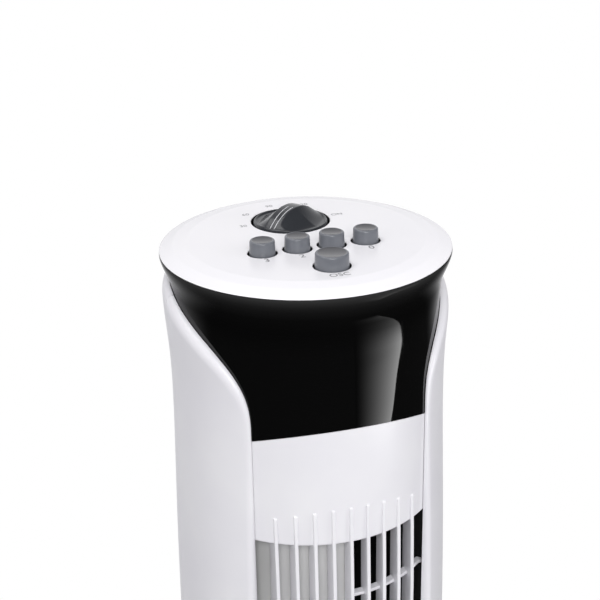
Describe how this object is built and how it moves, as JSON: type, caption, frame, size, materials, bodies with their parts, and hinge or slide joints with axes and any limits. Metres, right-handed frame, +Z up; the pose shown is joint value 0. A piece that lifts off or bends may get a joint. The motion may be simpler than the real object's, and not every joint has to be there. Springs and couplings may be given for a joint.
{
  "type": "tower fan",
  "caption": "Oscillating tower fan with a round base, tall cylindrical body, finned front outlet and a top panel with a timer dial and push buttons.",
  "frame": {"origin": "centre of the round base at floor level", "axes": "+Z up along the tower and its swing axis; the air outlet faces -Y; +X is the right side seen from the front"},
  "size_m": [0.288, 0.288, 0.8113],
  "materials": {
    "white_plastic": "smooth satin white with a faint lavender tint",
    "black_gloss_plastic": "piano black gloss",
    "dark_grey_plastic": "dark grey satin gloss",
    "mid_grey_plastic": "mid grey satin",
    "light_grey_plastic": "light grey satin",
    "black_matt_plastic": "matt black moulding",
    "rubber": "matt black rubber",
    "steel": "zinc-plated steel",
    "copper_winding": "enamelled copper wire"
  },
  "bodies": {
    "base": {"base_shell": "white_plastic", "base_plate": "black_matt_plastic", "rubber_foot_1": "rubber", "rubber_foot_2": "rubber", "rubber_foot_3": "rubber", "rubber_foot_4": "rubber", "base_screw_1": "steel", "base_screw_2": "steel", "base_screw_3": "steel", "pivot_collar": "black_matt_plastic", "osc_motor": "steel"},
    "tower": {"turntable": "black_matt_plastic", "turntable_retainer": "steel", "swing_arm": "steel", "front_grille": "white_plastic", "side_wing_left": "white_plastic", "side_wing_right": "white_plastic", "rear_housing": "white_plastic", "intake_grille_left": "white_plastic", "intake_grille_middle": "white_plastic", "intake_grille_right": "white_plastic", "handle_cup": "white_plastic", "housing_screw_1": "steel", "housing_screw_2": "steel", "head_shell": "black_gloss_plastic", "top_cover": "white_plastic", "control_deck": "black_matt_plastic", "switch_block": "black_matt_plastic", "osc_switch": "black_matt_plastic", "timer_body": "steel", "wiring_harness": "rubber", "duct_bottom_plate": "black_matt_plastic", "duct_top_plate": "black_matt_plastic", "bearing_holder": "black_matt_plastic", "bearing_bush": "steel", "scroll_wall": "black_matt_plastic", "vortex_tongue": "light_grey_plastic", "motor_mount": "rubber", "motor_cup_lower": "steel", "motor_cup_upper": "steel", "motor_stator": "steel", "motor_winding": "copper_winding"},
    "osc_crank": {"crank_disc": "black_matt_plastic", "crank_roller": "steel"},
    "blower": {"blower_wheel": "black_matt_plastic", "wheel_hub": "rubber", "motor_rotor": "steel", "top_axle": "steel"},
    "timer_knob": {"timer_knob": "dark_grey_plastic", "timer_shaft": "steel"},
    "button_0": {"button_0_cap": "mid_grey_plastic", "button_0_stem": "black_matt_plastic"},
    "button_1": {"button_1_cap": "mid_grey_plastic", "button_1_stem": "black_matt_plastic"},
    "button_2": {"button_2_cap": "mid_grey_plastic", "button_2_stem": "black_matt_plastic"},
    "button_3": {"button_3_cap": "mid_grey_plastic", "button_3_stem": "black_matt_plastic"},
    "osc_button": {"osc_button_cap": "mid_grey_plastic", "osc_button_stem": "black_matt_plastic"}
  },
  "joints": [
    {"name": "tower_swing", "type": "hinge", "parent": "base", "child": "tower", "pos_m": [0, 0, 0.0523], "axis": [0, 0, 1], "range_deg": [-35, 35]},
    {"name": "crank_spin", "type": "hinge", "parent": "base", "child": "osc_crank", "pos_m": [0, 0.022, 0.0195], "axis": [0, 0, 1], "range_deg": [-105, 105]},
    {"name": "blower_spin", "type": "hinge", "parent": "tower", "child": "blower", "pos_m": [-0.004, 0.014, 0.2], "axis": [0, 0, -1], "continuous": true},
    {"name": "timer_turn", "type": "hinge", "parent": "tower", "child": "timer_knob", "pos_m": [0, 0.0303, 0.8], "axis": [0, 0, -1], "range_deg": [-129, 173]},
    {"name": "button_0_press", "type": "slide", "parent": "tower", "child": "button_0", "axis": [0, 0, -1], "range_m": [0, 0.005], "stiffness_N_per_m": 300},
    {"name": "button_1_press", "type": "slide", "parent": "tower", "child": "button_1", "axis": [0, 0, -1], "range_m": [0, 0.005], "stiffness_N_per_m": 300},
    {"name": "button_2_press", "type": "slide", "parent": "tower", "child": "button_2", "axis": [0, 0, -1], "range_m": [0, 0.005], "stiffness_N_per_m": 300},
    {"name": "button_3_press", "type": "slide", "parent": "tower", "child": "button_3", "axis": [0, 0, -1], "range_m": [0, 0.005], "stiffness_N_per_m": 300},
    {"name": "osc_button_press", "type": "slide", "parent": "tower", "child": "osc_button", "axis": [0, 0, -1], "range_m": [0, 0.005], "stiffness_N_per_m": 300}
  ],
  "couplings": [
    {"joint": "crank_spin", "follows": "tower_swing", "ratio": 3}
  ]
}
